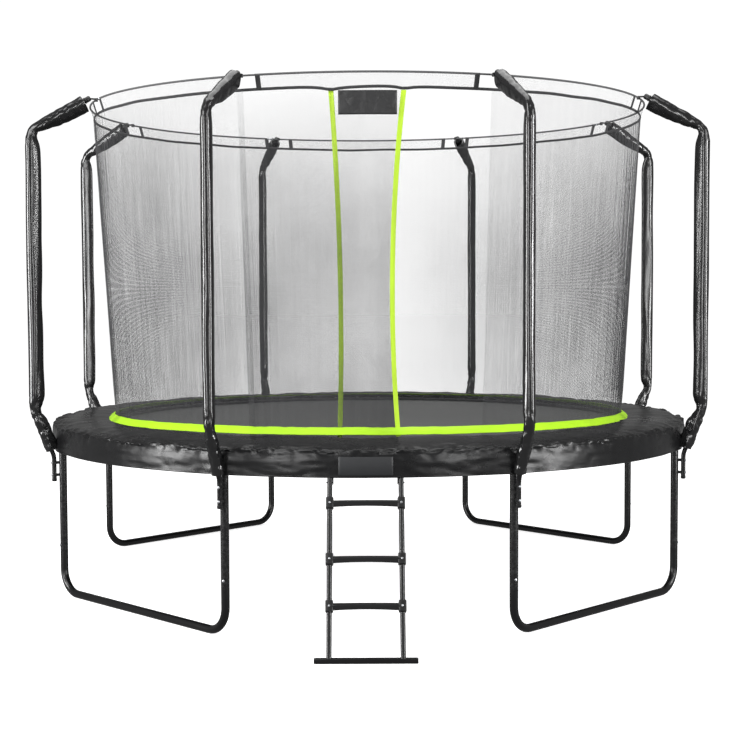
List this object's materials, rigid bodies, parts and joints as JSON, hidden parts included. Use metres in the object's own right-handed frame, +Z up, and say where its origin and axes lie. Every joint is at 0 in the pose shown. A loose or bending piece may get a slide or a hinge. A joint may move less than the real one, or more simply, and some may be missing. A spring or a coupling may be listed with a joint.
{
  "type": "backyard trampoline",
  "caption": "Round backyard trampoline with padded springs, a pole-hung safety net with an overlapping entrance, and a leaning ladder.",
  "frame": {"origin": "ground level, at the centre of the footprint with the ladder in place; the round frame's own axis is 163 mm behind it, towards +Y", "axes": "+Z up, +Y to the back, away from the ladder and entrance, which face -Y; +X to the right seen from the front"},
  "size_m": [3.732, 4.0585, 2.749],
  "materials": {
    "powder_coated_steel": "satin black powder coat",
    "step_plastic": "matt black moulded plastic",
    "sleeve_vinyl": "glossy wrinkled black PVC cover over foam",
    "pad_vinyl": "glossy wrinkled black PVC over foam, lime green inner edging",
    "spring_steel": "zinc plated",
    "net_mesh": "fine black polyethylene net",
    "hoop_rod": "glass fibre rod in a black hem",
    "woven_mat": "dark grey woven polypropylene"
  },
  "bodies": {
    "root": {"frame_rail_1": "powder_coated_steel", "frame_rail_2": "powder_coated_steel", "frame_rail_3": "powder_coated_steel", "frame_rail_4": "powder_coated_steel", "frame_rail_5": "powder_coated_steel", "frame_rail_6": "powder_coated_steel", "frame_rail_7": "powder_coated_steel", "frame_rail_8": "powder_coated_steel", "leg_post_1": "powder_coated_steel", "leg_post_2": "powder_coated_steel", "leg_post_3": "powder_coated_steel", "leg_post_4": "powder_coated_steel", "leg_post_5": "powder_coated_steel", "leg_post_6": "powder_coated_steel", "leg_post_7": "powder_coated_steel", "leg_post_8": "powder_coated_steel", "leg_base_1": "powder_coated_steel", "leg_base_2": "powder_coated_steel", "leg_base_3": "powder_coated_steel", "leg_base_4": "powder_coated_steel", "pole_lower_1": "powder_coated_steel", "pole_lower_2": "powder_coated_steel", "pole_lower_3": "powder_coated_steel", "pole_lower_4": "powder_coated_steel", "pole_lower_5": "powder_coated_steel", "pole_lower_6": "powder_coated_steel", "pole_lower_7": "powder_coated_steel", "pole_lower_8": "powder_coated_steel", "pole_upper_1": "powder_coated_steel", "pole_upper_2": "powder_coated_steel", "pole_upper_3": "powder_coated_steel", "pole_upper_4": "powder_coated_steel", "pole_upper_5": "powder_coated_steel", "pole_upper_6": "powder_coated_steel", "pole_upper_7": "powder_coated_steel", "pole_upper_8": "powder_coated_steel", "pole_sleeve_1": "sleeve_vinyl", "pole_sleeve_2": "sleeve_vinyl", "pole_sleeve_3": "sleeve_vinyl", "pole_sleeve_4": "sleeve_vinyl", "pole_sleeve_5": "sleeve_vinyl", "pole_sleeve_6": "sleeve_vinyl", "pole_sleeve_7": "sleeve_vinyl", "pole_sleeve_8": "sleeve_vinyl", "spring_set": "spring_steel", "safety_pad": "pad_vinyl", "net_wall": "net_mesh", "top_hoop": "hoop_rod", "ladder_hook_left": "powder_coated_steel", "ladder_hook_right": "powder_coated_steel"},
    "mat": {"jump_mat": "woven_mat"},
    "outer_flap": {"net_flap_outer": "net_mesh"},
    "inner_flap": {"net_flap_inner": "net_mesh"},
    "ladder": {"ladder_rail_left": "powder_coated_steel", "ladder_rail_right": "powder_coated_steel", "ladder_step_1": "step_plastic", "ladder_step_2": "step_plastic", "ladder_step_3": "step_plastic", "ladder_foot": "powder_coated_steel"}
  },
  "joints": [
    {"name": "mat_bounce", "type": "slide", "parent": "root", "child": "mat", "axis": [0, 0, 1], "range_m": [-0.2, 0], "stiffness_N_per_m": 5000, "springref_m": 0.04, "deforming": ["spring_set"]},
    {"name": "outer_flap_slide", "type": "hinge", "parent": "root", "child": "outer_flap", "pos_m": [0, 0.16325, 0.909], "axis": [0, 0, -1], "range_deg": [0, 15], "stiffness_Nm_per_rad": 4},
    {"name": "inner_flap_slide", "type": "hinge", "parent": "root", "child": "inner_flap", "pos_m": [0, 0.16325, 0.909], "axis": [0, 0, 1], "range_deg": [0, 15], "stiffness_Nm_per_rad": 4},
    {"name": "ladder_swing", "type": "hinge", "parent": "root", "child": "ladder", "pos_m": [-0.018, -1.6824, 0.777], "axis": [-1, 0, 0], "range_deg": [0, 60]}
  ]
}
